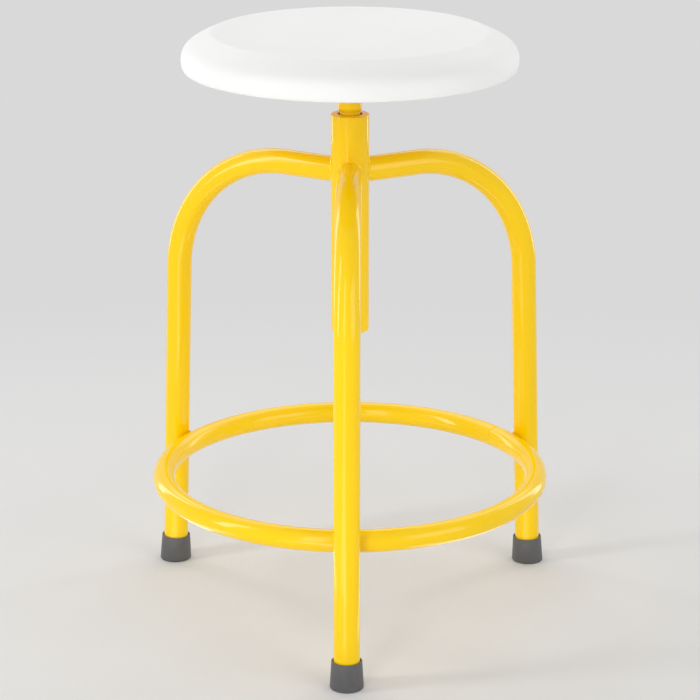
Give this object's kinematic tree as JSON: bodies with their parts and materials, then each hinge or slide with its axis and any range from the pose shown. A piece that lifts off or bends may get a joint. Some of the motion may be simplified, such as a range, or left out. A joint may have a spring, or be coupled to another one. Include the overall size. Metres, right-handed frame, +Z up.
{
  "type": "adjustable stool",
  "caption": "Round white moulded seat on a screwed spindle that winds up and down in a yellow tube frame with splayed bent legs, a foot ring and rubber feet.",
  "frame": {"origin": "on the floor, on the axis of the spindle and hub", "axes": "+Z up along the spindle, -Y towards the front leg, +X to the right seen from the front"},
  "size_m": [0.4122, 0.4363, 0.5955],
  "materials": {
    "frame_paint": "gloss yellow powder coat on steel",
    "seat_plastic": "smooth white moulding, semi-gloss",
    "foot_rubber": "matt grey moulded rubber",
    "zinc_steel": "bright zinc plate",
    "nylon": "natural nylon, turned",
    "plug_plastic": "black moulded polyethylene",
    "plywood": "sealed birch plywood"
  },
  "bodies": {
    "frame": {"leg_front": "frame_paint", "leg_rear_right": "frame_paint", "leg_rear_left": "frame_paint", "hub_tube": "frame_paint", "hub_welds": "frame_paint", "hub_plug": "plug_plastic", "foot_ring": "frame_paint", "ring_seam_weld": "frame_paint", "ring_welds": "frame_paint", "spindle_nut": "frame_paint", "foot_front": "foot_rubber", "foot_rear_right": "foot_rubber", "foot_rear_left": "foot_rubber", "foot_washers": "zinc_steel"},
    "guide": {"guide_bush": "nylon"},
    "seat": {"spindle": "frame_paint", "spindle_collar": "frame_paint", "stop_washer": "zinc_steel", "stop_screw": "zinc_steel", "seat_flange": "frame_paint", "flange_weld": "frame_paint", "flange_screws": "zinc_steel", "flange_washers": "zinc_steel", "tee_nuts": "zinc_steel", "seat_board": "plywood", "shell_screws": "zinc_steel", "seat_shell": "seat_plastic"}
  },
  "joints": [
    {"name": "seat_height", "type": "slide", "parent": "frame", "child": "guide", "axis": [0, 0, 1], "range_m": [-0.0141, 0.1161]},
    {"name": "seat_turn", "type": "hinge", "parent": "guide", "child": "seat", "pos_m": [0, 0, 0.3435], "axis": [0, 0, 1], "range_deg": [-840, 6960]}
  ],
  "couplings": [
    {"joint": "seat_height", "follows": "seat_turn", "m_per_rad": 0.00095493}
  ]
}
